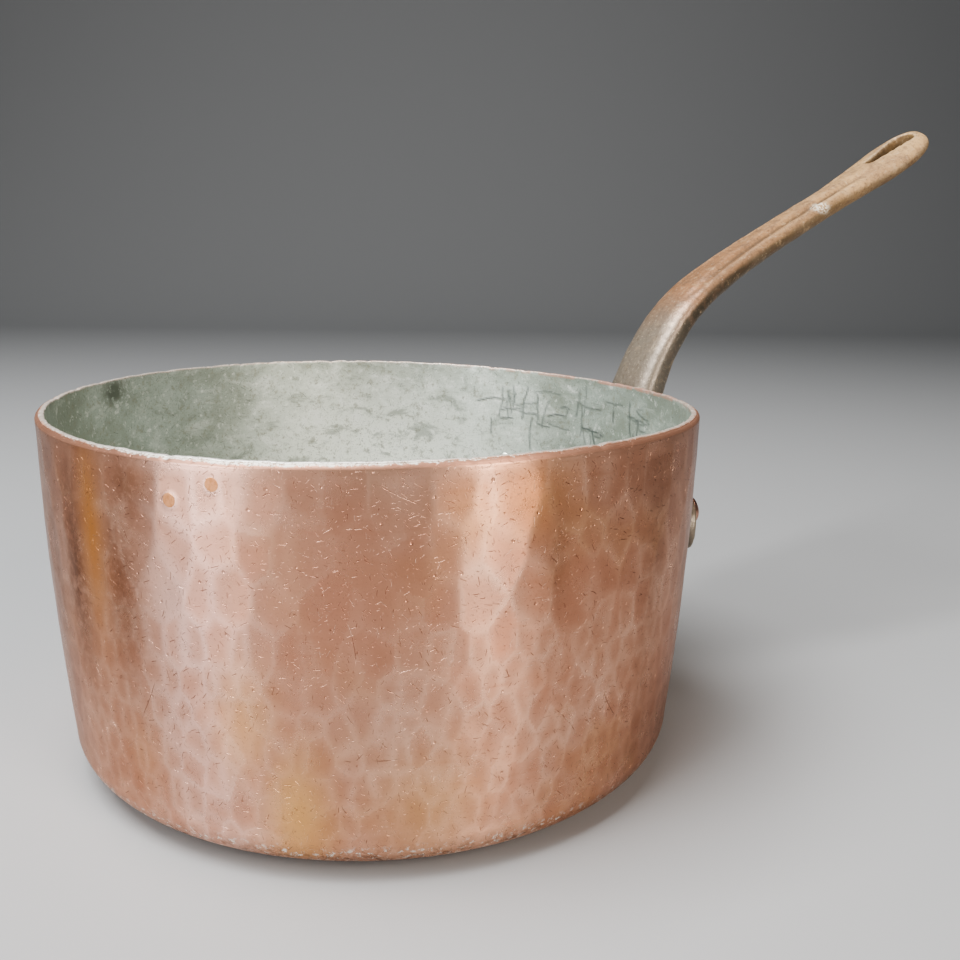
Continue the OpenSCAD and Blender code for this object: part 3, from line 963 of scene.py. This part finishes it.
def iron_material():
    """Handled cast iron: tan where hands wear it, grey by the rim, dark underneath as painted shade
    with some grime, darker in grooves as painted shade, and lighter on edges from wear and a
    painted highlight.
    """
    p = Paint("handle_iron")
    where = p.place()
    mottle = p.noise(4.5 * MM, where, 6, 0.7)
    speckle = p.noise(1.2 * MM, where, 4, 0.7)
    grain = p.noise(0.5 * MM, where, 2)
    reach = p.node("ShaderNodeSeparateXYZ")
    p.put(reach.inputs[0], where)
    far = p.step(reach.outputs[0], RIM_R + 30 * MM, RIM_R + 150 * MM)
    near = p.step(reach.outputs[0], RIM_R + 10 * MM, RIM_R + 36 * MM, 1, 0)
    crest = p.attribute("crest")
    scuff = p.vector("LENGTH", p.stretched(p.vector("SUBTRACT", where, WORN_SPOT), 1, 1.6, 1.6))
    scuff = p.calc("MULTIPLY", p.step(scuff, 2 * MM, 6.5 * MM, 1, 0), p.step(speckle, 0.45, 0.53))

    base = iron_tones(p, where, far, near)
    # lighter on edges: wear, and a painted highlight along the ridges; darker in grooves: painted
    # shade
    base = p.blend(p.step(crest, 0.58, 0.85, 0, 0.5), base, IRON["crest"])
    base = p.blend(p.step(crest, 0.30, 0.47, 0.85, 0), base, IRON["groove"])
    base = p.blend(p.step(mottle, 0.50, 0.62, 0, 0.55), base, IRON["dark spot"])
    base = p.blend(p.step(mottle, 0.36, 0.46, 0.4, 0), base, IRON["pale spot"])
    base = p.blend(p.calc("MULTIPLY", near, 0.65), base, IRON["grey neck"])
    base = p.blend(p.step(speckle, 0.54, 0.66, 0, 0.5), base, IRON["dark speck"])
    base = p.blend(p.step(speckle, 0.32, 0.42, 0.4, 0), base, IRON["pale speck"])
    base = p.blend(p.step(grain, 0.58, 0.76, 0, 0.35), base, IRON["grain"])
    base = p.blend(scuff, base, IRON["scuff"])

    shine = p.calc("MULTIPLY_ADD", mottle, 0.35, 0.18)
    shine = p.calc("MULTIPLY_ADD", far, 0.22, shine)
    rough = p.calc("ADD", p.calc("MULTIPLY", mottle, 0.7), p.calc("MULTIPLY", speckle, 0.6))
    p.set(Base_Color=base, Roughness=shine, Metallic=0.35, Normal=p.bump(rough, 0.20 * MM, 0.9))
    return p.material


def rivet_material(name, bare, tarnished):
    """Small copper part: bare on top, tarnished in its lows, tinned where it is inside the pan."""
    p = Paint(name)
    where = p.place()
    mottle = p.noise(1.6 * MM, where, 4, 0.6)
    grain = p.noise(0.35 * MM, where, 2)
    base = p.blend(p.step(mottle, 0.4, 0.7), bare, tarnished)
    base = p.blend(p.step(grain, 0.58, 0.75, 0, 0.4), base, tuple(0.4 * x for x in tarnished))
    flat = p.vector("LENGTH", p.stretched(where, 1, 1, 0))
    base = p.blend(p.step(flat, RIM_R - 3.2 * MM, RIM_R - 2.4 * MM, 1, 0), base, (0.42, 0.45, 0.40))
    p.set(Base_Color=base, Roughness=p.calc("MULTIPLY_ADD", mottle, 0.2, 0.24), Metallic=1.0,
          Normal=p.bump(mottle, 0.05 * MM, 0.6))
    return p.material


# ---------------------------------------------------------------- the object

def finish_piece(piece, material, slot, *nodes):
    """Gives the piece its looks and puts it in the place of those CAD nodes."""
    piece.data.materials.append(material)
    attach(piece, "root")
    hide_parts(*nodes)


finish_piece(pan_copper(), copper_material(), "copper", "pan_body")
finish_piece(pan_tin(), tin_material(), "tin", "tin_lining")

handle = remeshed("handle", "iron_handle", voxel=0.55 * MM, rounds=7)
mark_crests(handle)
roughen(handle, [(9 * MM, 0.18 * MM, 1.0), (2.5 * MM, 0.06 * MM, 5.0)])
# the top mask splits the handle's colour into the top and a darker underside, painted shade with
# some grime
mark_top(handle, up=(-0.6, 0, 0.8))
finish_piece(handle, iron_material(), "iron", "handle")

rivet_copper = rivet_material("rivet_copper", bare=(0.66, 0.36, 0.26), tarnished=(0.30, 0.15, 0.10))
for side in ("left", "right", "lower"):
    rivet = remeshed("rivet_" + side, "rivet_head_" + side, voxel=0.3 * MM, rounds=4)
    roughen(rivet, [(3.2 * MM, 0.16 * MM, 3.0)])
    finish_piece(rivet, rivet_copper, "rivet_copper", "rivet_" + side)

plug_copper = rivet_material("plug_copper", bare=(0.70, 0.34, 0.17), tarnished=(0.56, 0.25, 0.11))
for side in ("left", "right"):
    plug = remeshed("repair_plug_" + side, "plug_" + side, voxel=0.12 * MM, rounds=3)
    finish_piece(plug, plug_copper, "plug_copper", "repair_plug_" + side)


# ---------------------------------------------------------------- stage, lights and camera

def stage():
    """Pale sweep: a floor that curves up into a wall well behind the pan."""
    front, back, top, side = -3.0, 1.6, 3.0, 4.0
    bend = 0.8
    mesh = bpy.data.meshes.new("sweep")
    turn = [math.radians(6 * i) for i in range(16)]
    curve = [(back + bend * math.sin(a), bend * (1 - math.cos(a))) for a in turn]
    profile = [(front, 0.0)] + curve + [(back + bend, top)]
    points = [(x, y, z) for y, z in profile for x in (-side, side)]
    faces = [(2 * i, 2 * i + 1, 2 * i + 3, 2 * i + 2) for i in range(len(profile) - 1)]
    mesh.from_pydata(points, [], faces)
    mesh.shade_smooth()
    sweep = bpy.data.objects.new("sweep", mesh)
    sweep.rotation_euler.z = CAMERA_SIDE + math.pi / 2
    bpy.context.scene.collection.objects.link(sweep)
    p = Paint("sweep_paper")
    p.set(Base_Color=(0.28, 0.285, 0.29, 1), Roughness=0.85)
    mesh.materials.append(p.material)


def soft_light(name, side, distance, height, width, tall, power, tint=(1, 1, 1)):
    """Soft box at that angle from the camera's side of the pan, aimed at the pan."""
    lamp = bpy.data.lights.new(name, "AREA")
    lamp.shape = "RECTANGLE"
    lamp.size = width
    lamp.size_y = tall
    lamp.energy = power
    lamp.color = tint
    holder = bpy.data.objects.new(name, lamp)
    turn = CAMERA_SIDE + math.radians(side)
    holder.location = (distance * math.cos(turn), distance * math.sin(turn), height)
    aim = Vector((0, 0, 0.08)) - holder.location
    holder.rotation_euler = aim.to_track_quat("-Z", "Y").to_euler()
    bpy.context.scene.collection.objects.link(holder)


def camera():
    """Camera at the photograph's place: a little above the rim, tipped down."""
    data = bpy.data.cameras.new("camera")
    data.lens = 37.5
    data.sensor_width = 36
    data.clip_start = 0.01
    holder = bpy.data.objects.new("camera", data)
    x = CAMERA_AWAY * math.cos(CAMERA_SIDE)
    y = CAMERA_AWAY * math.sin(CAMERA_SIDE)
    place = Matrix.Translation((x, y, CAMERA_UP))
    heading = Matrix.Rotation(math.radians(CAMERA_HEADING - 90), 4, "Z")
    tip = Matrix.Rotation(math.radians(90 - CAMERA_TIP), 4, "X")
    roll = Matrix.Rotation(math.radians(CAMERA_ROLL), 4, "Z")
    holder.matrix_world = place @ heading @ tip @ roll
    bpy.context.scene.collection.objects.link(holder)
    bpy.context.scene.camera = holder


stage()
soft_light("window_left", side=-53, distance=1.0, height=0.50, width=0.50, tall=0.95, power=12)
soft_light("window_right", side=36, distance=1.0, height=0.45, width=0.32, tall=0.70, power=10,
           tint=(1.0, 0.89, 0.79))
soft_light("overhead", side=-60, distance=0.45, height=1.3, width=0.8, tall=0.8, power=40)
camera()

world = bpy.data.worlds.new("room")
world.use_nodes = True
background = world.node_tree.nodes["Background"]
background.inputs["Color"].default_value = (0.80, 0.84, 0.88, 1)
background.inputs["Strength"].default_value = 0.08
bpy.context.scene.world = world

bpy.context.scene.view_settings.look = "AgX - Medium High Contrast"
